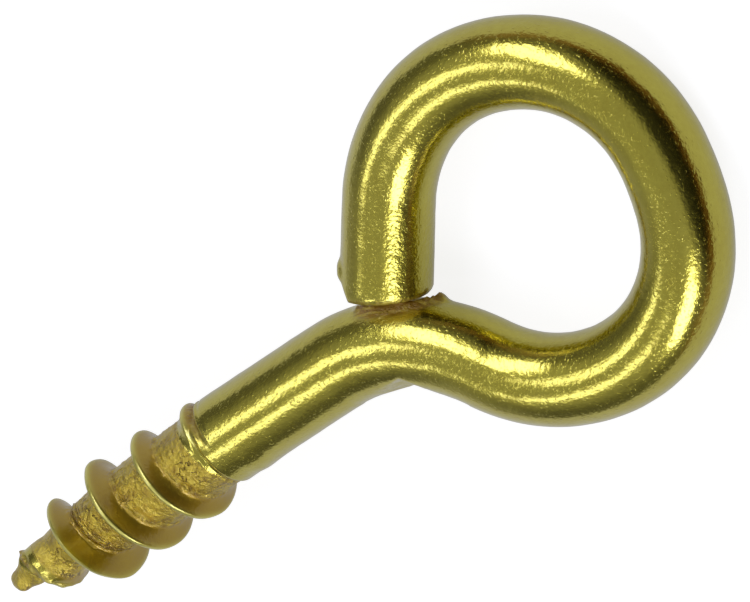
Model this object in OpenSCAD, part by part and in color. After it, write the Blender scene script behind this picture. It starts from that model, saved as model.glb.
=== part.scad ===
// Screw eye: one length of wire with a coarse wood thread rolled on one end and the other end bent
// round into an eye. It lies on its side: the shank runs along X with its tip towards -X, the eye lies
// flat, and the origin is on the floor under the middle of the piece.

/* [Wire] */
// Diameter of the wire that the whole piece is made from
wire_d = 2.5; // [1.8:0.1:4]

/* [Eye] */
// Clear width inside the eye
eye_inner_d = 6.2; // [5.4:0.1:10]
// Distance of the eye's centre to the side of the shank's axis
eye_offset = 0.26; // [0:0.02:1]
// Direction from the eye's centre in which the wire leaves the circle and runs on straight as the tail
tail_from = 140.5; // [128:0.5:146]
// Gap between the tail's sheared end and the neck
tail_gap = 0.1; // [0.06:0.02:0.5]
// Slope of the shear across the tail, from the line of the shank
shear_slope = 32; // [26:1:40]
// Length of the corner that the shear breaks off the tail's outer side
corner_break = 0.7; // [0.4:0.05:1]
// How far the shear's burr stands out from the tail's outer side
tail_burr_h = 0.11; // [0.05:0.01:0.3]
// Radius of that burr
tail_burr_r = 0.34; // [0.2:0.02:0.5]
// Distance of that burr back from the tail's end
tail_burr_at = 0.45; // [0.3:0.05:0.8]
// How far that burr lies round the tail, from its outer side towards its top
tail_burr_turn = 27; // [0:1:40]

/* [Neck] */
// Radius of the bend that carries the wire from the shank into the eye, to the middle of the wire
neck_r = 4.7; // [3.6:0.1:8]
// Depth of the V that the bending tool leaves inside the neck's bend
crease_depth = 0.2; // [0.05:0.01:0.3]
// Where that V lies, from the start of the bend
crease_at = 28; // [18:1:36]
// Slope of each side of that V
crease_slope = 20; // [16:1:26]
// Height of the ridge of flash along the neck, under the tail's end
flash_h = 0.1; // [0.03:0.01:0.25]
// Half thickness of that ridge
flash_r = 0.15; // [0.12:0.01:0.3]
// Angle from the start of the bend to where that ridge starts
flash_from = 16; // [8:1:20]
// Angle from the start of the bend to the ridge's thick end
flash_to = 38; // [32:1:42]
// How far that ridge lies round the neck, from its outer side towards its top
flash_rise = 24; // [0:1:32]
// Radius of the knob at the ridge's thick end
flash_knob_r = 0.2; // [0.16:0.01:0.3]

/* [Shank] */
// Length of the plain shank, from the thread's shoulder to the bend
shank_l = 4.5; // [2:0.1:12]
// Rounding of the shoulder's edge
shoulder_r = 0.08; // [0.04:0.01:0.12]

/* [Thread] */
// Length of the threaded end, from the start of the thread to the shoulder
thread_l = 7.8; // [6:0.1:14]
// Distance along the shank from one crest to the next
pitch = 1.73; // [1.4:0.01:2.4]
// Largest diameter over the crests, where the point begins
crest_d = 3.24; // [2.9:0.02:4.8]
// Diameter over the crests at the shoulder
crest_top_d = 3.02; // [2.7:0.02:4.6]
// Width of the flat rim on a crest
crest_w = 0.14; // [0.08:0.02:0.3]
// Slope of the thread's flanks, from square to the shank
flank_slope = 28; // [20:1:32]
// Diameter of the core between the crests at the shoulder
core_d = 2.3; // [1.5:0.02:3.6]
// Length of the point, over which the crests grow to their largest
point_l = 3.1; // [2:0.1:5]
// Diameter of the core at the blunt tip
tip_d = 0.5; // [0.2:0.02:0.6]
// Diameter over the first crest, at the tip
tip_crest_d = 0.92; // [0.7:0.02:1.4]
// How far the blunt nib stands out beyond the start of the thread
nib_l = 0.28; // [0.06:0.02:0.4]
// Direction in which the thread starts at the tip, round the shank from straight down
thread_start = 46; // [0:1:359]

/* [Hidden] */
$fn = 96;

wire_r = wire_d / 2;
eye_r = (eye_inner_d + wire_d) / 2;

// The wire draws a hair thinner in the neck and the tail, which run a short way into their neighbours
draw = 0.004;
lap = 0.05;

// Stations along the shank from the start of the thread
bend_x = thread_l + shank_l;
join_at = asin((eye_offset + neck_r) / (eye_r + neck_r));
eye_x = bend_x + (eye_r + neck_r) * cos(join_at);
eye_sweep = 180 + tail_from - join_at;

// The tail runs straight on until the shear, which clears the neck by the gap
tail_dir = tail_from + 90;
tail_x = eye_x + eye_r * cos(tail_from) - bend_x;
tail_y = eye_offset + eye_r * sin(tail_from) + neck_r;
shear_dir = 90 - shear_slope;
shear_at = neck_r + wire_r + tail_gap;
shear_reach = -cos(tail_dir - shear_dir);
tail_l = (tail_x * cos(shear_dir) + tail_y * sin(shear_dir) - shear_at) / shear_reach;
shear_skew = tan(tail_dir - shear_dir - 180);
tail_outer_l = tail_l - wire_r * shear_skew;
// Distance from the tail's middle to where the broken corner meets the shear
corner_run = wire_r - corner_break * cos(tail_dir - shear_dir - 180);

// Rise of the first crest above the tip
tip_rise = 0.3;

// Rest: the lowest crest and the far side of the eye both touch the floor
low_turn = ceil((point_l - tip_rise) / pitch + thread_start / 360);
low_x = tip_rise + pitch * (low_turn - thread_start / 360);
low_r = crest_at(low_x);
lie_angle = atan((low_r - wire_r) / (eye_x + eye_r - low_x));
lift = low_x * sin(lie_angle) + low_r * cos(lie_angle);
middle_x = ((eye_x + eye_r - nib_l) * cos(lie_angle) + wire_r) / 2;

// Steps round one turn of the thread, and how far the core runs on inside the shank
steps = 48;
run_in = 0.2;
// Share of a turn over which the crest fades out, and how far past the shoulder it ends
fade_turn = 0.4;
fade_past = 0.1;
// How fast the core swells from the tip to the shoulder
core_swell = 2.5;
// The flanks spread at the foot and are hollow: a share of their height lies on that share of their width
foot = 0.04;
hollow = 0.4;
least_high = 0.1;
// Up to this height the flank that faces the eye is filled out to a cone, by up to this much
fill_to = 1.7;
fill = 0.5;

far = 4 * (eye_r + wire_d);

// Radius of the core at a height above the tip
function core_at(z) =
    (tip_d + (core_d - tip_d) * (1 - pow(1 - min(max(z, 0), thread_l) / thread_l, core_swell))) / 2;

// Radius of the crest at a height above the tip: a cone over the point, then easing in to the shoulder
function crest_at(z) =
    z < point_l
        ? (tip_crest_d + (crest_d - tip_crest_d) * max(z, 0) / point_l) / 2
        : (crest_d + (crest_top_d - crest_d) * (z - point_l) / (thread_l - point_l)) / 2;

// Share of the crest's height that is left: it fades out into the core just under the shoulder
function crest_share(z) =
    let (t = min(max((thread_l + fade_past - z) / (fade_turn * pitch), 0), 1))
    t * t * (3 - 2 * t);

// One section through the thread at a height: [radius, height], from under a crest to the next turn
function thread_section(z) =
    let (
        low = core_at(z),
        high = max(crest_at(z) - low, 0) * crest_share(z),
        half = crest_w / 2 + foot + max(high, least_high) * tan(flank_slope),
        above = half + fill * min(max(fill_to - z, 0), 1)
    )
    [
        [low, z - half],
        [low + hollow * high, z - crest_w / 2 - hollow * (half - crest_w / 2)],
        [low + high, z - crest_w / 2],
        [low + high, z + crest_w / 2],
        [low + hollow * high, z + crest_w / 2 + hollow * (above - crest_w / 2)],
        [core_at(z + above), z + above],
        [core_at(z + pitch / 2), z + pitch / 2]
    ];

// The threaded end: its section wound round the axis, each turn sewn to the turn above it
module threaded_end() {
    rows = 7;
    last = ceil(steps * (1 + (thread_l + run_in) / pitch));
    wound = [
        for (t = [0:last])
            let (turn = 360 * t / steps)
            each [
                for (p = thread_section(tip_rise + pitch * t / steps))
                    [p[0] * cos(turn), p[0] * sin(turn), p[1]]
            ]
    ];
    tip = len(wound);
    top = tip + 1;
    ends = [[0, 0, -nib_l], [0, 0, tip_rise + pitch * last / steps]];
    band = [
        for (t = [0:last - 1], k = [0:rows - 2])
            let (a = rows * t + k, b = a + rows)
            each [[a, a + 1, b + 1], [a, b + 1, b]]
    ];
    seam = [
        for (t = [0:last - 1 - steps])
            let (a = rows * t + rows - 1, b = a + rows, c = rows * (t + steps), d = c + rows)
            each [[a, c, d], [a, d, b]]
    ];
    tip_cap = concat(
        [for (t = [0:steps - 1]) [rows * t, rows * (t + 1), tip]],
        [for (k = [0:rows - 2]) [k + 1, k, tip]],
        [[rows * steps, rows - 1, tip]]
    );
    top_cap = concat(
        [for (t = [last - steps:last - 1]) [rows * (t + 1) + rows - 1, rows * t + rows - 1, top]],
        [for (k = [0:rows - 2]) [rows * last + k, rows * last + k + 1, top]],
        [[rows * (last - steps) + rows - 1, rows * last, top]]
    );
    rotate([0, 90, 0])
        rotate([0, 0, thread_start])
            polyhedron(concat(wound, ends), concat(band, seam, tip_cap, top_cap));
}

// The plain shank, from the rounded shoulder to the bend
module shank() {
    translate([thread_l, 0, 0])
        rotate([0, 90, 0])
            rotate_extrude() {
                translate([0, shoulder_r])
                    square([wire_r, shank_l - shoulder_r]);
                square([wire_r - shoulder_r, shank_l]);
                intersection() {
                    translate([wire_r - shoulder_r, shoulder_r])
                        circle(shoulder_r);
                    square([wire_r, shank_l]);
                }
            }
}

// A length of wire bent about the Z axis, starting and turning through the angles given
module bent_wire(bend_r, section_r, from, turn) {
    rotate_extrude(angle = turn, start = from)
        translate([bend_r, 0])
            circle(section_r);
}

// Moves its children to the middle of the neck's bend
module at_neck() {
    translate([bend_x, -neck_r, 0])
        children();
}

// The bend from the shank into the eye, creased on its inside where the bending tool bore on it
module neck() {
    over = lap / neck_r * 180 / PI;
    at_neck()
        difference() {
            bent_wire(neck_r, wire_r - draw, join_at - over, 90 - join_at + 2 * over);
            rotate([0, 0, 90 - crease_at])
                translate([neck_r - wire_r + crease_depth, 0, 0])
                    linear_extrude(height = far, center = true)
                        polygon([[0, 0], [-tan(crease_slope), 1], [-tan(crease_slope), -1]]);
        }
}

// The ridge of flash along the neck's outer side, with its knob
module flash() {
    out = wire_r + flash_h - flash_r;
    at_neck() {
        translate([0, 0, out * sin(flash_rise)])
            bent_wire(neck_r + out * cos(flash_rise), flash_r, 90 - flash_to, flash_to - flash_from);
        rotate([0, 0, 90 - flash_to])
            translate([neck_r + out, 0, 0])
                sphere(flash_knob_r);
    }
}

// The eye's circle, from the neck round to the tail
module eye() {
    translate([eye_x, eye_offset, 0])
        bent_wire(eye_r, wire_r, 180 + join_at, eye_sweep);
}

// The straight tail, sheared off on the slant with its outer corner broken away
module tail() {
    translate([eye_x, eye_offset, 0])
        rotate([0, 0, tail_from])
            translate([eye_r, 0, 0])
                rotate([0, 0, 90]) {
                    intersection() {
                        translate([-lap, 0, 0])
                            rotate([0, 90, 0])
                                cylinder(r = wire_r - draw, h = tail_outer_l + lap + wire_r);
                        linear_extrude(height = far, center = true)
                            polygon([
                                [-1, -wire_d],
                                [-1, wire_d],
                                [tail_l + wire_d * shear_skew, wire_d],
                                [tail_l - corner_run * shear_skew, -corner_run],
                                [tail_outer_l - corner_break, -wire_r],
                                [tail_outer_l - corner_break - wire_d, -wire_d]
                            ]);
                    }
                    rotate([-tail_burr_turn, 0, 0])
                        translate([tail_outer_l - tail_burr_at, tail_burr_r - tail_burr_h - wire_r, 0])
                            sphere(tail_burr_r);
                }
}

module screw_eye() {
    color("goldenrod")
        translate([-middle_x, -eye_offset, lift])
            rotate([0, lie_angle, 0])
                union() {
                    threaded_end();
                    shank();
                    neck();
                    flash();
                    eye();
                    tail();
                }
}

screw_eye();
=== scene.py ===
# %% [markdown]
# # A brassed screw eye
# One length of steel wire makes the whole part: a wood thread is rolled on one end, and the other end is
# bent round a pin into an eye and sheared off against the neck. It is then plated with bright brass.
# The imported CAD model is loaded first. It fixes where everything is, and nothing here moves it.

# %% Load the frame
import math

import bpy
import numpy as np
from mathutils import Matrix, Vector, noise


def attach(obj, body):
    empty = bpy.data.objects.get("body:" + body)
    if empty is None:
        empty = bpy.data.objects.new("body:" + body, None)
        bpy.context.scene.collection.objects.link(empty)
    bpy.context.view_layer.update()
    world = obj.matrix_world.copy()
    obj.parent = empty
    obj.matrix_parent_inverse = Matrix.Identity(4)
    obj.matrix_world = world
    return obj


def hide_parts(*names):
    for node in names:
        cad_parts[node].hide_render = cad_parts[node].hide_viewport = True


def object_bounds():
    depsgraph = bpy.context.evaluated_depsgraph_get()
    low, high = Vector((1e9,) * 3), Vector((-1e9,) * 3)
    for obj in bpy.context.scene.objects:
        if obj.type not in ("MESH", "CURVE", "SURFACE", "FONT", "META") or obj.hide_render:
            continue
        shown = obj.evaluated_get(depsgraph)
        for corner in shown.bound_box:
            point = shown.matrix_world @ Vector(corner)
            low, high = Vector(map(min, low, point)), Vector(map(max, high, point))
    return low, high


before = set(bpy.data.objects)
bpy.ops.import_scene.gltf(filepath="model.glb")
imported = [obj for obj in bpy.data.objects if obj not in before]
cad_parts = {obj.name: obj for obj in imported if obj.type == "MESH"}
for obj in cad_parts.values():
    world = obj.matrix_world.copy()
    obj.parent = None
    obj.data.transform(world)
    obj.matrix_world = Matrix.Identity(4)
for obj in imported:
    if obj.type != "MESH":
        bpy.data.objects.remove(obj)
cad_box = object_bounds()
bpy.ops.object.select_all(action="DESELECT")
print("CAD box in mm:", [[round(1000 * v, 2) for v in corner] for corner in cad_box])

# %% [markdown]
# ## Sizes
# These are the sizes that the CAD model was built from, in millimetres, so the two agree. The part is
# modelled lying along X with its thread starting at x = 0, and laid on the floor at the end. It then
# rests on its second crest and the far side of its eye, which tips it by about a degree.

# %% Sizes
MM = 0.001
WIRE_R = 1.25
THREAD_L, PITCH, START = 7.8, 1.73, math.radians(46)
CREST_D, CREST_TOP_D, TIP_CREST_D, POINT_L = 3.24, 3.02, 0.92, 3.1
CORE_D, TIP_D, NIB, RISE = 2.3, 0.5, 0.28, 0.3
BEND_X, NECK_R, EYE_R, EYE_Y, TAIL_FROM = 12.3, 4.7, 4.35, 0.26, math.radians(140.5)
JOIN = math.asin((EYE_Y + NECK_R) / (EYE_R + NECK_R))
EYE_X = BEND_X + (EYE_R + NECK_R) * math.cos(JOIN)
print("eye centre at x =", round(EYE_X, 3), "mm")

# %% How it lies
LOW_X = RISE + PITCH * (2 - START / (2 * math.pi))
LOW_R = (CREST_D + (CREST_TOP_D - CREST_D) * (LOW_X - POINT_L) / (THREAD_L - POINT_L)) / 2
LIE = math.atan((LOW_R - WIRE_R) / (EYE_X + EYE_R - LOW_X))
LIFT = LOW_X * math.sin(LIE) + LOW_R * math.cos(LIE)
MIDDLE = ((EYE_X + EYE_R - NIB) * math.cos(LIE) + WIRE_R) / 2
print("rests on the crest at x =", round(LOW_X, 3), "mm, tipped by", round(math.degrees(LIE), 2), "degrees")

# %% [markdown]
# ## Camera
# The photo looks down on the part from the eye's end, about 33 degrees off the eye's own axis, with a
# long lens and the picture rolled so that the shank climbs to the right. A long lens far away keeps the
# wire's two edges almost parallel, as they are in the photo.

# %% Camera
TILT = math.radians(32.0023) + LIE
ROLL = math.radians(33.4461)
FIT_X, FIT_RIGHT, FIT_UP = 12.914, 0.4859, 1.3907
CAMERA_FAR, LENS = 0.3235, 585.3
SHANK = Vector((math.cos(TILT), 0, -math.sin(TILT)))
SIDE = Vector((0, 1, 0))
BACK = Vector((math.sin(TILT), 0, math.cos(TILT)))
RIGHT = math.cos(ROLL) * SHANK - math.sin(ROLL) * SIDE
UP = math.sin(ROLL) * SHANK + math.cos(ROLL) * SIDE
station = Vector((FIT_X * math.cos(LIE) - MIDDLE, -EYE_Y, LIFT - FIT_X * math.sin(LIE))) * MM
aim = station + (FIT_RIGHT * RIGHT + FIT_UP * UP) * MM
eyepoint = aim + CAMERA_FAR * BACK
bpy.ops.object.camera_add(location=eyepoint)
camera = bpy.context.object
camera.matrix_world = Matrix.Translation(eyepoint) @ Matrix((RIGHT, UP, BACK)).transposed().to_4x4()
camera.data.sensor_width = 36
camera.data.lens = LENS
camera.data.clip_start = 0.01
bpy.context.scene.camera = camera
print("camera looks down at", round(90 - math.degrees(TILT), 1), "degrees")

# %% [markdown]
# ## Thread
# A thread is one section wound up a helix, which is what the Screw modifier does. The section is a row of
# points one pitch long, close together at the crest, where the shape turns fastest. The wound strip is
# then shaped point by point: each point's radius comes from how far along the core it is and how far it
# lies from the nearest crest. Points past either end are gathered on the tip or on the shank's first ring.

# %% Wind the thread's section
AROUND = 128  # points round the wire
TURNS = 7
CREST_FROM, CREST_TO = -0.21, 0.28  # the close points, in pitches from the crest
offsets = PITCH * np.concatenate([
    np.linspace(-0.5, CREST_FROM, 10)[:-1],
    np.linspace(CREST_FROM, CREST_TO, 27),
    np.linspace(CREST_TO, 0.5, 8)[1:]])
bpy.ops.mesh.primitive_plane_add(size=1, location=(0, 0, 0))
part = bpy.context.object
part.name = "screw_eye_plated"
bpy.ops.object.mode_set(mode="EDIT")
bpy.ops.mesh.select_all(action="SELECT")
bpy.ops.mesh.merge(type="CENTER")
bpy.ops.transform.translate(value=(RISE - PITCH * (1 + START / (2 * math.pi)) + offsets[0], 0, -WIRE_R))
for a, b in zip(offsets[:-1], offsets[1:]):
    bpy.ops.mesh.extrude_vertices_move(TRANSFORM_OT_translate={"value": (b - a, 0, 0)})
bpy.ops.object.mode_set(mode="OBJECT")
bpy.ops.object.modifier_add(type="SCREW")
wind = part.modifiers[0]
wind.axis = "X"
wind.angle = 2 * math.pi
wind.steps = wind.render_steps = AROUND
wind.iterations = TURNS
wind.screw_offset = PITCH
wind.use_merge_vertices = True
wind.merge_threshold = 1e-4
bpy.ops.object.modifier_apply(modifier=wind.name)
print("wound strip:", len(part.data.vertices), "points")

# %% Find each point's crest
TOP_X = THREAD_L + 0.5  # the thread's mesh ends here, on plain wire


def get_points(piece):
    flat = np.empty(3 * len(piece.data.vertices))
    piece.data.vertices.foreach_get("co", flat)
    return flat.reshape(-1, 3)


def crest_gap(places):
    turn = np.arctan2(places[:, 1], -places[:, 2])
    turns = (places[:, 0] - RISE) / PITCH - (turn - START) / (2 * math.pi)
    return (turns - np.round(turns)) * PITCH, turn


places = get_points(part)
gap, turn = crest_gap(places)
x = np.clip(places[:, 0], -NIB, TOP_X)
crest_x = places[:, 0] - gap
print("crests run from x =", round(crest_x.min(), 2), "to", round(crest_x.max(), 2), "mm")

# %% Core and crest
SWELL = 2.5  # how soon the core swells behind the point
NIB_TO, NIB_POWER = 0.2, 0.4  # the point is rounded up to here
STEP_X, STEP_L = THREAD_L - 0.02, 0.16  # the step from the core to the shank
EYE_FLANK, TIP_FLANK, CREST_HALF = 0.46, 0.34, 0.07


def ease(share):
    share = np.clip(share, 0, 1)
    return share * share * (3 - 2 * share)


core = (TIP_D + (CORE_D - TIP_D) * (1 - (1 - np.clip(x / THREAD_L, 0, 1)) ** SWELL)) / 2
core *= np.clip(1 - (np.clip(NIB_TO - x, 0, None) / (NIB_TO + NIB)) ** 3, 0, 1) ** NIB_POWER
core += (WIRE_R - core) * np.where(x > STEP_X, ease((x - STEP_X) / STEP_L), 0)
crest = np.interp(x, [0, POINT_L, THREAD_L], [TIP_CREST_D / 2, CREST_D / 2, CREST_TOP_D / 2])
share = ease((crest_x - 0.05) / 0.9) * ease((THREAD_L + 0.15 - crest_x) / (0.35 * PITCH))
first = ease((1.7 - crest_x) / 0.6)
low_turn = ease((3.4 - crest_x) / 0.8)
reach = np.where(gap > 0, EYE_FLANK - 0.07 * low_turn + 0.45 * first, TIP_FLANK - 0.17 * first)
flank = np.clip((reach - np.abs(gap)) / (reach - CREST_HALF), 0, 1) ** (1.6 - 0.7 * first * (gap > 0))
radius = core + np.clip(crest - core, 0, None) * share * flank
print("core up to", round(2 * core.max(), 2), "mm wide, crest up to", round(2 * crest.max(), 2), "mm")

# %% [markdown]
# ## How the thread was rolled
# Rolling pushes the steel up between two dies. It leaves a crumpled root, a lap where the root's metal
# folds over at the foot of each flank, rounded crests that are a little uneven, and a torn point. These are
# real shapes, so they are added to the radius. Noise gives the crumple, and small mounds give the folds.

# %% Roots, folds and crests
LAST_CREST_X = 7.43


def grain(places, size, seed=0.0):
    return np.array([noise.noise(Vector(p) / size + Vector((seed, seed, seed))) for p in places])


def mound(off, width, power=2):
    return np.exp(-(off / width) ** power)


wound = np.column_stack([x, core * np.sin(turn), -core * np.cos(turn)])
root = (1 - ease(3 * flank)) * ease((THREAD_L - 0.1 - x) / 0.2)
rolled = ease((x - 1.8) / 0.4)
radius += root * rolled * (0.025 * grain(wound, 0.2, 7) + 0.025 * grain(wound, 0.08, 11))
lap = gap - (0.43 - 0.06 * low_turn + 0.06 * grain(wound, 0.4, 3))
fold = mound(lap, 0.04) - mound(lap - 0.08, 0.035)
fold += low_turn * (mound(lap - 0.15, 0.035) - mound(lap - 0.21, 0.03))
radius += 0.03 * share * rolled * fold
radius += 0.1 * first * share * mound(gap, 0.14) * grain(wound, 0.2, 13)
radius += 0.02 * share * flank * grain(wound, 0.5, 5) - 0.03 * share * flank * ease(np.sin(turn))
radius -= 0.03 * share * flank * np.clip(np.abs(gap) / 0.09, 0, 1) ** 2
radius -= 0.1 * flank * mound(crest_x - LAST_CREST_X, 0.25)
radius -= 0.05 * mound(x - THREAD_L + 0.06, 0.06)
valley = mound(gap - 0.26, 0.11) * ease((crest_x - 6.9) / 0.2) * ease((7.9 - crest_x) / 0.25)
radius -= 0.15 * valley * ease((x - THREAD_L + 0.1) / 0.15)
print("in a root:", int((root > 0.5).sum()), "points")

# %% Torn point
TIP_LOBES = [  # place along, its width, direction in degrees, its width in radians, height
    (0.02, 0.22, 222, 0.7, 0.22),
    (0.45, 0.3, 245, 0.5, 0.1),
    (0.4, 0.15, 100, 0.5, 0.13),
]


def set_points(piece, places):
    piece.data.vertices.foreach_set("co", places.ravel())
    piece.data.update()


for lobe_x, long, direction, wide, height in TIP_LOBES:
    lobe_turn = np.mod(turn, 2 * math.pi) - math.radians(direction)
    radius += height * mound(x - lobe_x, long) * mound(lobe_turn, wide)
radius[places[:, 0] <= -NIB] = 0
radius[places[:, 0] >= TOP_X] = WIRE_R
set_points(part, np.column_stack([x, radius * np.sin(turn), -radius * np.cos(turn)]))
bpy.ops.object.mode_set(mode="EDIT")
bpy.ops.mesh.select_all(action="SELECT")
bpy.ops.mesh.remove_doubles(threshold=1e-4)
bpy.ops.mesh.select_all(action="DESELECT")
bpy.ops.object.mode_set(mode="OBJECT")
print("thread:", len(part.data.polygons), "faces, widest", round(2 * radius.max(), 3), "mm")

# %% [markdown]
# ## Wire
# The rest is plain round wire in four lengths: the shank is a ring drawn out straight, the neck and the eye
# are the same ring swept round a bend by the Screw modifier with no pitch, and the tail is straight again.
# Each length starts on the last ring of the one before, so joining them and merging gives one skin. The
# tail is then sheared by two flat cuts: a slanted one along the neck, and one that breaks its outer corner.

# %% Where the bends and the cuts are
NECK_TURN = math.pi / 2 - JOIN
EYE_TURN = math.pi + TAIL_FROM - JOIN
S_EYE = BEND_X + NECK_R * NECK_TURN  # run of the wire up to the eye
S_TAIL = S_EYE + EYE_R * EYE_TURN  # and up to the tail
TAIL_DIR = TAIL_FROM + math.pi / 2
TAIL_X, TAIL_Y = EYE_X + EYE_R * math.cos(TAIL_FROM), EYE_Y + EYE_R * math.sin(TAIL_FROM)
SHEAR, TAIL_GAP, CORNER_BREAK = math.radians(58), 0.1, 0.7
BREAK_AHEAD, BREAK_LEFT = 0.66, 0.75
TAIL_BACK = TAIL_DIR - SHEAR - math.pi
SKEW = math.tan(TAIL_BACK)
SHEAR_R = NECK_R + WIRE_R + TAIL_GAP
TAIL_L = (TAIL_X - BEND_X) * math.cos(SHEAR) + (TAIL_Y + NECK_R) * math.sin(SHEAR) - SHEAR_R
TAIL_L = TAIL_L / math.cos(TAIL_BACK)
CORNER = (TAIL_L - WIRE_R * SKEW - CORNER_BREAK, -WIRE_R)
ahead = Vector((math.cos(TAIL_DIR), math.sin(TAIL_DIR), 0))
left = Vector((-math.sin(TAIL_DIR), math.cos(TAIL_DIR), 0))
print("eye starts", round(S_EYE, 2), "mm along the wire, tail starts at", round(S_TAIL, 2), "mm")

# %% Draw out and bend the wire
RING = 0.075  # mm from ring to ring
TAIL_UNCUT = 3.6


def wire_ring(x, y, heading):
    bpy.ops.mesh.primitive_circle_add(vertices=AROUND, radius=WIRE_R, location=(x, y, 0),
                                      rotation=(0, math.pi / 2, heading))
    bpy.ops.object.transform_apply(location=True, rotation=True, scale=True)
    return bpy.context.object


def drawn(x, y, heading, length):
    piece = wire_ring(x, y, heading)
    count = round(length / RING)
    step = (length / count * math.cos(heading), length / count * math.sin(heading), 0)
    bpy.ops.object.mode_set(mode="EDIT")
    bpy.ops.mesh.select_all(action="SELECT")
    for _ in range(count):
        bpy.ops.mesh.extrude_region_move(TRANSFORM_OT_translate={"value": step})
    bpy.ops.object.mode_set(mode="OBJECT")
    return piece


def bent(x, y, heading, centre, angle):
    bpy.ops.object.empty_add(location=centre)
    pin = bpy.context.object
    piece = wire_ring(x, y, heading)
    bpy.ops.object.modifier_add(type="SCREW")
    sweep = piece.modifiers[0]
    sweep.object = pin
    sweep.axis = "Z"
    sweep.angle = angle
    sweep.steps = sweep.render_steps = round(abs(angle) * math.dist((x, y), centre[:2]) / RING)
    bpy.ops.object.modifier_apply(modifier=sweep.name)
    bpy.data.objects.remove(pin)
    return piece


join_x, join_y = BEND_X + NECK_R * math.cos(JOIN), NECK_R * (math.sin(JOIN) - 1)
lengths = [
    drawn(TOP_X, 0, 0, BEND_X - TOP_X),
    bent(BEND_X, 0, 0, (BEND_X, -NECK_R, 0), -NECK_TURN),
    bent(join_x, join_y, -NECK_TURN, (EYE_X, EYE_Y, 0), EYE_TURN),
    drawn(TAIL_X, TAIL_Y, TAIL_DIR, TAIL_UNCUT),
]
print("lengths of wire:", [len(piece.data.polygons) for piece in lengths], "faces")

# %% Shear the tail and join the lengths
shear_out = Vector((math.cos(SHEAR), math.sin(SHEAR), 0))
cuts = [  # a point on the cut, and the side that falls off
    (Vector((BEND_X, -NECK_R, 0)) + SHEAR_R * shear_out, -shear_out),
    (Vector((TAIL_X, TAIL_Y, 0)) + CORNER[0] * ahead + CORNER[1] * left,
     BREAK_AHEAD * ahead - BREAK_LEFT * left),
]
bpy.ops.object.mode_set(mode="EDIT")
for place, normal in cuts:
    bpy.ops.mesh.select_all(action="SELECT")
    bpy.ops.mesh.bisect(plane_co=place, plane_no=normal, use_fill=True, clear_outer=True)
bpy.ops.object.mode_set(mode="OBJECT")
bpy.ops.object.select_all(action="DESELECT")
for piece in lengths + [part]:
    piece.select_set(True)
bpy.context.view_layer.objects.active = part
bpy.ops.object.join()
bpy.ops.object.mode_set(mode="EDIT")
bpy.ops.mesh.select_all(action="SELECT")
bpy.ops.mesh.remove_doubles(threshold=0.002)
bpy.ops.mesh.normals_make_consistent(inside=False)
bpy.ops.mesh.select_all(action="DESELECT")
bpy.ops.object.mode_set(mode="OBJECT")
places = get_points(part)
print("wire:", len(part.data.polygons), "faces, reaching", np.round(places.max(axis=0), 3), "mm")

# %% [markdown]
# ## The straight wire
# Marks are easiest to place on a straight wire, where along, across and up are plain axes. These two steps
# undo the bends and put them back.

# %% Straighten and bend
SLACK = 0.01  # each length may reach this far into the next


def straighten(places):
    x, y, z = places.T
    neck = math.pi / 2 - np.arctan2(y + NECK_R, x - BEND_X)
    eye = np.mod(np.arctan2(y - EYE_Y, x - EYE_X) - math.pi - JOIN + 0.3, 2 * math.pi) - 0.3
    tail_u = (x - TAIL_X) * ahead.x + (y - TAIL_Y) * ahead.y
    tail_l = (x - TAIL_X) * left.x + (y - TAIL_Y) * left.y
    ways = [  # run along the wire, distance across it, and whether the point can be there
        (x, y, x <= BEND_X + SLACK),
        (BEND_X + NECK_R * neck, np.hypot(x - BEND_X, y + NECK_R) - NECK_R,
         (neck > -SLACK) & (neck < NECK_TURN + SLACK)),
        (S_EYE + EYE_R * eye, EYE_R - np.hypot(x - EYE_X, y - EYE_Y),
         (eye > -SLACK) & (eye < EYE_TURN + SLACK)),
        (S_TAIL + tail_u, tail_l, (tail_u > -SLACK) & (tail_u < TAIL_L + SKEW * tail_l + 2 * SLACK)),
    ]
    far = np.array([np.where(fits, np.hypot(across, z), 99) for _, across, fits in ways])
    best = far.argmin(axis=0)
    run = np.choose(best, [way[0] for way in ways])
    across = np.choose(best, [way[1] for way in ways])
    return np.column_stack([run, across, z])


def bend(straight):
    run, across, z = straight.T
    neck = math.pi / 2 - (run - BEND_X) / NECK_R
    eye = math.pi + JOIN + (run - S_EYE) / EYE_R
    neck_r, eye_r, u = NECK_R + across, EYE_R - across, run - S_TAIL
    where = [run <= BEND_X, run <= S_EYE, run <= S_TAIL]
    x = np.select(where, [run, BEND_X + neck_r * np.cos(neck), EYE_X + eye_r * np.cos(eye)],
                  TAIL_X + u * ahead.x + across * left.x)
    y = np.select(where, [across, neck_r * np.sin(neck) - NECK_R, EYE_Y + eye_r * np.sin(eye)],
                  TAIL_Y + u * ahead.y + across * left.y)
    return np.column_stack([x, y, z])


straight = straighten(places)
print("straight wire:", round(np.ptp(straight[:, 0]), 2), "mm long; bent back to within",
      f"{np.abs(bend(straight) - places).max():.0e} mm")

# %% [markdown]
# ## Marks of making
# The bending and shearing left marks: a pinched crease under the neck, a ridge of flash with a knob where
# the tail was sheared against it, a burr on the tail, a flare at the shank's shoulder, and shallow dents
# all over. The wire also bows a little off its true arcs. Each point is moved on the straightened wire and
# bent back at the end.

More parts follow.
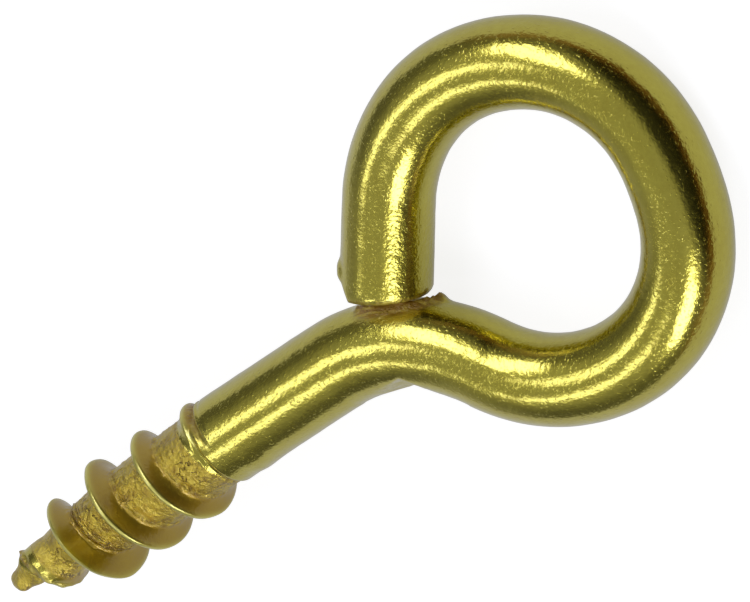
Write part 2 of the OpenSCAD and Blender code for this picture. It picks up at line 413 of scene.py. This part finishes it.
# %% Dents, cut edges and shoulder
FLARE_X = 8.2
run, across, up = straight.T.copy()
radius = np.hypot(across, up)
round_at = np.arctan2(up, across)
plain = ease((run - TOP_X) / 0.5)
skin = radius > 0.9
tail_u = run - S_TAIL
cut_gap = np.minimum(TAIL_L + SKEW * across - tail_u,
                     BREAK_LEFT * (across - CORNER[1]) - BREAK_AHEAD * (tail_u - CORNER[0]))
cut_gap = np.where(tail_u > 0, cut_gap, 9)
radius += plain * skin * (0.005 * grain(straight, 0.7, 2) + 0.004 * grain(straight, 0.35, 4) - 0.006)
radius -= skin * 0.07 * np.clip(1 - cut_gap / 0.16, 0, 1) ** 2
radius += 0.07 * mound(run - FLARE_X, 0.7) * plain * np.clip(-np.cos(round_at), 0, 1) ** 2
print("on the sheared end:", int((cut_gap < 0.01).sum()), "points")

# %% Ridge of flash, knob and burr
RIDGE_FROM, RIDGE_TO = 13.45, 15.6
RIDGE_X, RIDGE_DEG = [13.6, 14.0, 14.4, 14.8, 15.2, 15.4], [16, 25, 25, 20, 10, -6]
KNOB_X, KNOB_AT = 15.36, -0.22
BURR_U, BURR_ROUND = 2.15, -0.6
ridge = ease((run - RIDGE_FROM) / 0.25) * ease((RIDGE_TO - run) / 0.2)
ridge_side = (round_at - np.radians(np.interp(run, RIDGE_X, RIDGE_DEG))) * WIRE_R
rough = 1 + 0.6 * grain(straight, 0.2, 6) + 0.4 * grain(straight, 0.11, 9)
radius += 0.15 * ridge * rough * mound(ridge_side, 0.12)
knob = np.hypot((run - KNOB_X) * 1.25, (round_at - KNOB_AT) * WIRE_R)
radius += 0.17 * mound(knob, 0.19)
burr = np.hypot(tail_u - BURR_U, (np.mod(round_at, 2 * math.pi) - math.pi) * WIRE_R - BURR_ROUND)
radius += np.where(tail_u > 0, 0.085 * mound(burr, 0.3, 4), 0)
across, up = radius * np.cos(round_at), radius * np.sin(round_at)
print("ridge:", int((ridge * mound(ridge_side, 0.12) > 0.5).sum()), "points")

# %% Crease under the neck
CREASE_AT, CREASE_SLOPE, CREASE_DEEP = math.radians(28), math.tan(math.radians(24)), 0.19
CREASE_BLEND = 0.06
turned = (run - BEND_X) / NECK_R - CREASE_AT
least = NECK_R - WIRE_R + CREASE_DEEP - np.abs((NECK_R + across) * np.sin(turned)) * CREASE_SLOPE + 0.4 * up
least += 0.03 * grain(straight, 0.4, 12) + 0.012 * grain(straight, 0.15, 14)
under_neck = (run > BEND_X) & (run < S_EYE) & (across < 0)
pinch = under_neck & ((NECK_R + across) * np.cos(turned) < least)
flat = least / np.cos(turned) - NECK_R
across = np.where(under_neck, (across + flat + np.hypot(across - flat, CREASE_BLEND)) / 2, across)
print("crease:", int(pinch.sum()), "points")

# %% Bow the wire and bend it back
BOW_X = [0, 6.3, 8, 12, 13.5, 15.5, 16.5, 17.8, 20, 23, 25, 27, 28.2, 29.3, 31, 33, 36, 37.5, 39, 42]
BOW = [-0.06, -0.06, 0.03, 0.035, -0.01, -0.045, -0.05, -0.02, 0.025, 0, 0.02, 0.105,
       0.02, -0.06, -0.07, 0.005, 0.025, 0.03, -0.03, -0.02]
bow = np.mean([np.interp(run + shift, BOW_X, BOW) for shift in np.linspace(-0.6, 0.6, 9)], axis=0)
marked = np.column_stack([run, across, up])
set_points(part, bend(np.column_stack([run, across + bow, up])))
print("bowed by up to", round(np.abs(bow).max(), 3), "mm")

# %% [markdown]
# ## Where it is stained, worn and painted with shade and light
# Plating is thin and dull in the thread's roots and brown where it could not reach, beside the tail and in
# the crease. A fainter brown round the flash beside the tail is painted shade, and the brown on the torn
# ledge near the point is partly a painted shadow. The crests are worn duller and painted pale as a
# highlight, and the inner side of the tail is scuffed by the bending tool. The material needs to know where
# these are, so each point keeps its place on the straight wire, its distance from the nearest crest, and
# shares from 0 to 1: root, flank, pale crest, folds, stain with painted shade, and worked.

# %% Shares in the thread
gap, turn = crest_gap(straight)
behind = run - gap
in_thread = ease((THREAD_L + 0.05 - run) / 0.1)
root = in_thread * np.maximum(ease((gap - 0.3) / 0.15), ease((-gap - 0.3) / 0.1))
flank = 0.8 * in_thread * ease(gap / 0.12) * ease((0.5 - gap) / 0.15) * ease((run - 1.2) / 0.4)
# A narrow band on each crest: its pale colour is a painted highlight, its duller gloss is wear.
edge = in_thread * ease((run - 0.8) / 0.5) * mound(gap, 0.07)
folds = in_thread * ease((3.9 - behind) / 0.6) * ease((run - 2.2) / 0.3)
folds = folds * ease((gap - 0.36) / 0.06) * ease((0.76 - gap) / 0.08)
print("in a root:", int((root > 0.5).sum()), "points; on a crest:", int((edge > 0.5).sum()))

# %% Stains, painted shade and scuffs
END_STAIN, CREASE_STAIN, VALLEY_STAIN = 0.6, 0.1, 0.75
# The brown on the flash ridge is a stain; the fainter, wider brown round it is painted shade beside the
# tail.
stain_and_shade = ridge * np.maximum(mound(ridge_side - 0.05, 0.3, 4), 0.4 * mound(ridge_side, 0.45))
stain_and_shade = np.maximum(stain_and_shade, np.where(cut_gap < 0.1, END_STAIN, 0))
stain_and_shade = np.maximum(stain_and_shade, pinch * CREASE_STAIN)
valley = mound(gap - 0.26, 0.14) * ease((behind - 6.9) / 0.2) * ease((7.9 - behind) / 0.25)
stain_and_shade = np.maximum(stain_and_shade, VALLEY_STAIN * valley)
rolled = ease((run - 1.8) / 0.4) * ease((THREAD_L - 0.2 - run) / 0.3)
foot = in_thread * rolled * np.maximum(mound(gap - 0.46, 0.07), 0.7 * mound(gap + 0.4, 0.07))
stain_and_shade = np.maximum(stain_and_shade, foot * np.clip(0.3 + 1.1 * grain(straight, 0.25, 15), 0, 0.8))
# Brown on the torn ledge near the point: a stain on the torn metal, and a painted shadow under the ledge.
ragged_stain_and_shadow = ease((2.0 - behind) / 0.6) * mound(gap + 0.06, 0.15) * ease((run + 0.1) / 0.3)
stain_and_shade = np.maximum(stain_and_shade, ragged_stain_and_shadow * np.clip(0.85 + 0.8 * grain(straight, 0.2, 8), 0.4, 1))
inner = ease((math.radians(88) - np.abs(round_at)) / 0.5)
worked = 0.36 + 0.12 * inner * ease((tail_u + 3) / 3) + 0.46 * inner * ease((tail_u + 0.4) / 1.6)
print("stained:", int((stain_and_shade > 0.5).sum()), "points; scuffed:", int((worked > 0.5).sum()))

# %% Keep them on the mesh
layer = part.data.attributes.new("straight", "FLOAT_VECTOR", "POINT")
layer.data.foreach_set("vector", marked.ravel())
shares = {"gap": gap, "folds": folds, "edge": edge, "root": root, "flank": flank, "stain_and_shade": stain_and_shade,
          "worked": worked}
for name, values in shares.items():
    layer = part.data.attributes.new(name, "FLOAT", "POINT")
    layer.data.foreach_set("value", values)
print("attributes:", ["straight"] + list(shares))

# %% [markdown]
# ## Lay it down
# The part is turned to rest on one crest and the far side of its eye, and brought to metres. Its own box
# may not pass the CAD model's, so the few points that the dents or the bow push past it are set back on it.

# %% Lay the part on the floor
part.rotation_euler = (0, LIE, 0)
part.location = Vector((-MIDDLE, -EYE_Y, LIFT)) * MM
part.scale = (MM, MM, MM)
bpy.ops.object.select_all(action="DESELECT")
part.select_set(True)
bpy.context.view_layer.objects.active = part
bpy.ops.object.transform_apply(location=True, rotation=True, scale=True)
laid = np.clip(get_points(part), cad_box[0], cad_box[1])
set_points(part, laid)
bpy.ops.object.shade_smooth_by_angle(angle=math.radians(60))
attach(part, "root")
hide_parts("screw_eye")
print("laid down:", [[round(1000 * v, 3) for v in corner] for corner in (laid.min(0), laid.max(0))])

# %% [markdown]
# ## Brass plate
# The finish is a few microns of brass plated on drawn steel wire, under a thin clear lacquer, so it is all
# metal with one sharper white glint on top. To the eye it is a greenish yellow mirror, slightly blurred. Its
# marks are fine lines from drawing the wire, a pebbled skin from the plating barrel, shallow dents, and
# browner, duller roots with cracks and folds. Painted on top are shade in the grooves of the folds, a
# highlight on the crests, and shade and light on the brown round the flash ridge. All patterns are laid out
# on the straight wire in millimetres, so they follow it round the bends. A noise of scale 5 has marks of a
# fifth of a millimetre.

# %% Read the wire's own coordinates


def colour(code):
    parts = [int(code[i:i + 2], 16) / 255 for i in (1, 3, 5)]
    return [c / 12.92 if c <= 0.04045 else ((c + 0.055) / 1.055) ** 2.4 for c in parts] + [1]


def node(tree, kind, links=None, **settings):
    made = tree.nodes.new(kind)
    for key, value in settings.items():
        setattr(made, key, value)
    for key, value in (links or {}).items():
        if isinstance(value, bpy.types.NodeSocket):
            tree.links.new(value, made.inputs[key])
        else:
            made.inputs[key].default_value = value
    return made


brass = bpy.data.materials.new("electro-brassed steel")
brass.use_nodes = True
tree = brass.node_tree
tree.nodes.clear()
wire = node(tree, "ShaderNodeAttribute", attribute_name="straight").outputs["Vector"]
kept = {name: node(tree, "ShaderNodeAttribute", attribute_name=name).outputs["Fac"] for name in shares}
print("read from the mesh:", list(kept))

# %% Noises
# Real drawing lines are a few microns wide. These are 0.1 mm wide and 4 mm long, so that they show.
long_way = node(tree, "ShaderNodeMapping", {"Vector": wire, "Scale": (0.25, 9, 9)}).outputs["Vector"]
fibre_way = node(tree, "ShaderNodeMapping", {"Vector": wire, "Scale": (1.2, 8, 8)}).outputs["Vector"]
NOISES = {  # coordinates, marks to the millimetre, detail, roughness of the detail
    "drawing": (long_way, 1.0, 3.0, 0.5),
    "fibre": (fibre_way, 1.0, 3.0, 0.5),
    "pebble": (wire, 14.0, 1.0, 0.5),
    "cloud": (wire, 0.9, 3.0, 0.5),
    "mottle": (wire, 5.0, 5.0, 0.7),
    "creases": (wire, 2.6, 5.0, 0.6),
    "blotch": (wire, 3.5, 4.0, 0.5),
    "dents": (wire, 9.0, 1.0, 0.5),
    "crumbs": (wire, 9.0, 4.0, 0.65),
}
grains = {}
for name, (way, scale, detail, rough) in NOISES.items():
    grains[name] = node(tree, "ShaderNodeTexNoise", {
        "Vector": way, "Scale": scale, "Detail": detail, "Roughness": rough}).outputs["Fac"]
print("noises:", list(grains))

# %% Cracks and folds
# A crack runs where the crease noise crosses its middle. The folds are ripples 0.09 mm apart, and the
# ripple's inward half is painted darker as shade in their grooves.
FOLD_WAVES = 70.0  # radians to the millimetre
off_middle = node(tree, "ShaderNodeMath", {0: grains["creases"], 1: 0.5}, operation="SUBTRACT").outputs[0]
off_middle = node(tree, "ShaderNodeMath", {0: off_middle}, operation="ABSOLUTE").outputs[0]
bent_ripple = node(tree, "ShaderNodeMath", {0: grains["blotch"], 1: 3.0}, operation="MULTIPLY").outputs[0]
ripple = node(tree, "ShaderNodeMath", {0: kept["gap"], 1: FOLD_WAVES, 2: bent_ripple},
              operation="MULTIPLY_ADD").outputs[0]
ripple = node(tree, "ShaderNodeMath", {0: ripple}, operation="SINE").outputs[0]
RANGES = {  # value, from and to, what they become
    "mottle": (grains["mottle"], 0.3, 0.7, 0.0, 1.0),
    "crack": (off_middle, 0.0, 0.028, 1.0, 0.0),
    "patchy": (grains["cloud"], 0.46, 0.64, 0.0, 1.0),
    "blotch": (grains["blotch"], 0.5, 0.66, 0.0, 0.45),
    # Painted shade: the ripple's inward half, in the grooves of the folds.
    "fold_shade": (ripple, 0.2, 0.9, 0.0, 0.7),
    "fibre": (grains["fibre"], 0.5, 0.62, 0.0, 1.0),
    "matt": (grains["pebble"], 0.3, 0.7, 0.16, 0.23),
    "scuffed": (kept["worked"], 0.5, 0.94, 0.0, 1.0),
}
ranged = {}
for name, (value, low, high, at_low, at_high) in RANGES.items():
    ranged[name] = node(tree, "ShaderNodeMapRange", {
        "Value": value, "From Min": low, "From Max": high,
        "To Min": at_low, "To Max": at_high}).outputs["Result"]
for name, limit in (("crack", ranged["patchy"]), ("crack", kept["root"]), ("blotch", kept["root"]),
                    ("fold_shade", kept["folds"])):
    ranged[name] = node(tree, "ShaderNodeMath", {0: ranged[name], 1: limit},
                        operation="MULTIPLY").outputs[0]
print("ranges:", list(ranged))

# %% Colour
pairs = {  # two colours and what mixes them
    "tone": (grains["cloud"], "#D7CE52", "#CDC040"),
    "worn": (grains["cloud"], "#CCC246", "#C2B33A"),
    # Stain colour: a brown stain, with paler streaks that are painted light, lifting the flash ridge where
    # the tail shades it.
    "tan": (ranged["fibre"], "#A8842A", "#D0B84C"),
}
mixed = {}
for name, (factor, one, other) in pairs.items():
    mixed[name] = node(tree, "ShaderNodeMix", {
        "Factor": factor, "A": colour(one), "B": colour(other)}, data_type="RGBA").outputs["Result"]
tint = mixed["tone"]
layers = [  # each lies over the ones before it
    (ranged["mottle"], mixed["worn"]),
    (kept["root"], colour("#DCC23C")),
    (ranged["blotch"], colour("#966E22")),
    (ranged["crack"], colour("#6A4A16")),
    (kept["flank"], colour("#BC9828")),
    # Painted shade in the grooves of the folds.
    (ranged["fold_shade"], colour("#7A5A1C")),
    # Stain brown, with painted shade round the flash ridge and on the torn ledge near the point.
    (kept["stain_and_shade"], mixed["tan"]),
    # Pale crest colour: a painted highlight along each crest.
    (kept["edge"], colour("#E8E076")),
]
for factor, over in layers:
    tint = node(tree, "ShaderNodeMix", {"Factor": factor, "A": tint, "B": over},
                data_type="RGBA").outputs["Result"]
print("colour:", len(layers), "layers")

# %% Gloss
gloss = ranged["matt"]
for factor, duller in ((ranged["scuffed"], 0.27), (kept["root"], 0.28), (kept["flank"], 0.5),
                       (kept["stain_and_shade"], 0.6), (kept["edge"], 0.42)):
    gloss = node(tree, "ShaderNodeMix", {"Factor": factor, "A": gloss, "B": duller},
                 data_type="FLOAT").outputs["Result"]
print("gloss ends in", gloss.node.name)

# %% Relief and finish
specks = node(tree, "ShaderNodeMapRange", {"Value": grains["pebble"], "From Min": 0.6, "From Max": 0.75},
              interpolation_type="SMOOTHSTEP").outputs["Result"]
bumps = [  # height, strength, depth in metres, and whether it goes inwards
    (grains["drawing"], 1.0, 2e-6, False),
    (specks, 1.0, 2.5e-6, False),
    (grains["dents"], kept["worked"], 1.5e-5, False),
    (ranged["crack"], 1.0, 2e-5, True),
    (grains["crumbs"], kept["root"], 4.5e-5, False),
    (grains["crumbs"], kept["stain_and_shade"], 6e-5, False),
    (ripple, kept["folds"], 1.2e-5, True),
]
under = {}
for height, strength, depth, inwards in bumps:
    links = {"Height": height, "Strength": strength, "Distance": depth, **under}
    under = {"Normal": node(tree, "ShaderNodeBump", links, invert=inwards).outputs["Normal"]}
finish = node(tree, "ShaderNodeBsdfPrincipled", {
    "Base Color": tint, "Metallic": 1.0, "Roughness": gloss, "Normal": under["Normal"],
    "Coat Weight": 1.0, "Coat Roughness": 0.14, "Coat Normal": under["Normal"]})
node(tree, "ShaderNodeOutputMaterial", {"Surface": finish.outputs["BSDF"]})
part.data.materials.clear()
part.data.materials.append(brass)
print("material:", brass.name, "with", len(tree.nodes), "nodes")

# %% [markdown]
# ## Floor
# The part lies on a plain pale sheet. Its own colour is a mid grey that takes the part's shadow, and a glow
# for camera rays brings it to white, so no lamp has to. A weaker glow for glossy rays lets the brass show
# the sheet, too.

# %% Floor
FLOOR_WIDE = 40
GLOSSY_GLOW, CAMERA_GLOW = 0.29, 0.86
bpy.ops.mesh.primitive_plane_add(size=FLOOR_WIDE, location=(0, 0, 0))
floor = bpy.context.object
floor.name = "floor"
paper = bpy.data.materials.new("white paper")
paper.use_nodes = True
tree = paper.node_tree
tree.nodes.clear()
rays = node(tree, "ShaderNodeLightPath").outputs
shown = node(tree, "ShaderNodeMath", {0: rays["Is Glossy Ray"], 1: GLOSSY_GLOW},
             operation="MULTIPLY").outputs[0]
shown = node(tree, "ShaderNodeMath", {0: rays["Is Camera Ray"], 1: CAMERA_GLOW, 2: shown},
             operation="MULTIPLY_ADD").outputs[0]
sheet = node(tree, "ShaderNodeBsdfDiffuse", {"Color": colour("#9C9C9A")})
glow = node(tree, "ShaderNodeEmission", {"Color": (1, 1, 1, 1), "Strength": shown})
both = node(tree, "ShaderNodeAddShader", {0: glow.outputs[0], 1: sheet.outputs[0]})
node(tree, "ShaderNodeOutputMaterial", {"Surface": both.outputs[0]})
floor.data.materials.append(paper)
print("floor:", FLOOR_WIDE, "m of", paper.name)

# %% [markdown]
# ## Room
# A mirror-like metal shows the room it is in, so the room matters as much as the lamps. This one is lighter
# overhead than at the sides and dark behind the eye, which draws the dark line round the eye's far side. A
# low warm horizon beside the eye gives its edges a brown rim. The camera itself sees plain white.

# %% Room
world = bpy.data.worlds.new("room")
bpy.context.scene.world = world
world.use_nodes = True
tree = world.node_tree
tree.nodes.clear()
axes = node(tree, "ShaderNodeSeparateXYZ", {
    "Vector": node(tree, "ShaderNodeTexCoord").outputs["Generated"]}).outputs
sideways = node(tree, "ShaderNodeMath", {0: axes["Y"]}, operation="ABSOLUTE").outputs[0]
FADES = {  # direction, from and to, what they become
    "overhead": (axes["Z"], 0.3, 0.75, 0.11, 0.35),
    "tip_end": (axes["X"], -0.78, -0.97, 0.0, 0.22),
    "eye_end": (axes["X"], 0.3, 0.64, 1.0, 0.08),
    "low": (axes["Z"], 0.0, 0.36, 0.18, 0.0),
    "sideways": (sideways, 0.6, 0.85, 0.75, 1.0),
    "eyeward": (axes["X"], -0.3, 0.1, 0.0, 1.0),
}
fade = {}
for name, (value, low, high, at_low, at_high) in FADES.items():
    fade[name] = node(tree, "ShaderNodeMapRange", {
        "Value": value, "From Min": low, "From Max": high, "To Min": at_low, "To Max": at_high},
        interpolation_type="SMOOTHSTEP").outputs["Result"]
lit = node(tree, "ShaderNodeMath", {0: fade["overhead"], 1: fade["tip_end"]}, operation="ADD").outputs[0]
lit = node(tree, "ShaderNodeMath", {0: lit, 1: fade["eye_end"]}, operation="MULTIPLY").outputs[0]
warm = node(tree, "ShaderNodeMath", {0: fade["low"], 1: fade["sideways"]}, operation="MULTIPLY").outputs[0]
warm = node(tree, "ShaderNodeMath", {0: warm, 1: fade["eyeward"]}, operation="MULTIPLY").outputs[0]
walls = node(tree, "ShaderNodeBackground", {"Color": (1, 1, 1, 1), "Strength": lit})
horizon = node(tree, "ShaderNodeBackground", {"Color": colour("#FFB45A"), "Strength": warm})
white = node(tree, "ShaderNodeBackground", {"Color": (1, 1, 1, 1), "Strength": 1.0})
room = node(tree, "ShaderNodeAddShader", {0: walls.outputs[0], 1: horizon.outputs[0]})
seen = node(tree, "ShaderNodeLightPath").outputs["Is Camera Ray"]
both = node(tree, "ShaderNodeMixShader", {0: seen, 1: room.outputs[0], 2: white.outputs[0]})
node(tree, "ShaderNodeOutputWorld", {"Surface": both.outputs[0]})
print("room:", len(tree.nodes), "nodes")

# %% [markdown]
# ## Lamps
# Each lamp's reflection is drawn out along the wire into one bright line, so two long oval lamps and two
# narrow ones give the pairs of lines that the photo shows. A lamp is placed by the directions of its two
# ends, seen from the part. Its radiance stays the same whatever its size, so its energy goes by its area.

# %% Lamps
LAMP_FAR = 0.3
LAMP_TINT = colour("#E9EAFF")[:3]


def lamp(name, one_end, other_end, width, radiance):
    one_end, other_end = Vector(one_end), Vector(other_end)
    towards, along = (one_end + other_end).normalized(), (other_end - one_end).normalized()
    turn = Matrix((along, towards.cross(along), towards)).transposed().to_4x4()
    bpy.ops.object.light_add(type="AREA")
    light = bpy.context.object
    light.name = name
    light.matrix_world = Matrix.Translation(aim + LAMP_FAR * towards) @ turn
    light.data.shape = "ELLIPSE"
    light.data.size = LAMP_FAR * (other_end - one_end).length
    light.data.size_y = width
    light.data.color = LAMP_TINT
    light.data.energy = radiance * math.pi * math.pi * light.data.size * width / 4
    light.visible_camera = False
    print(name, "is", round(light.data.size, 3), "by", width, "m")


lamp("lamp_left", (0.159, 0.398, 0.903), (0.039, 0.897, 0.441), 0.115, 4.4)
lamp("lamp_right", (-0.057, -0.616, 0.786), (0.218, -0.846, 0.486), 0.15, 5.8)
lamp("lamp_tip_left", (-0.208, 0.394, 0.895), (-0.718, 0.232, 0.656), 0.07, 2.8)
lamp("lamp_tip_right", (-0.655, -0.171, 0.736), (-0.335, -0.411, 0.848), 0.064, 2.8)
bpy.context.scene.view_settings.view_transform = "Standard"
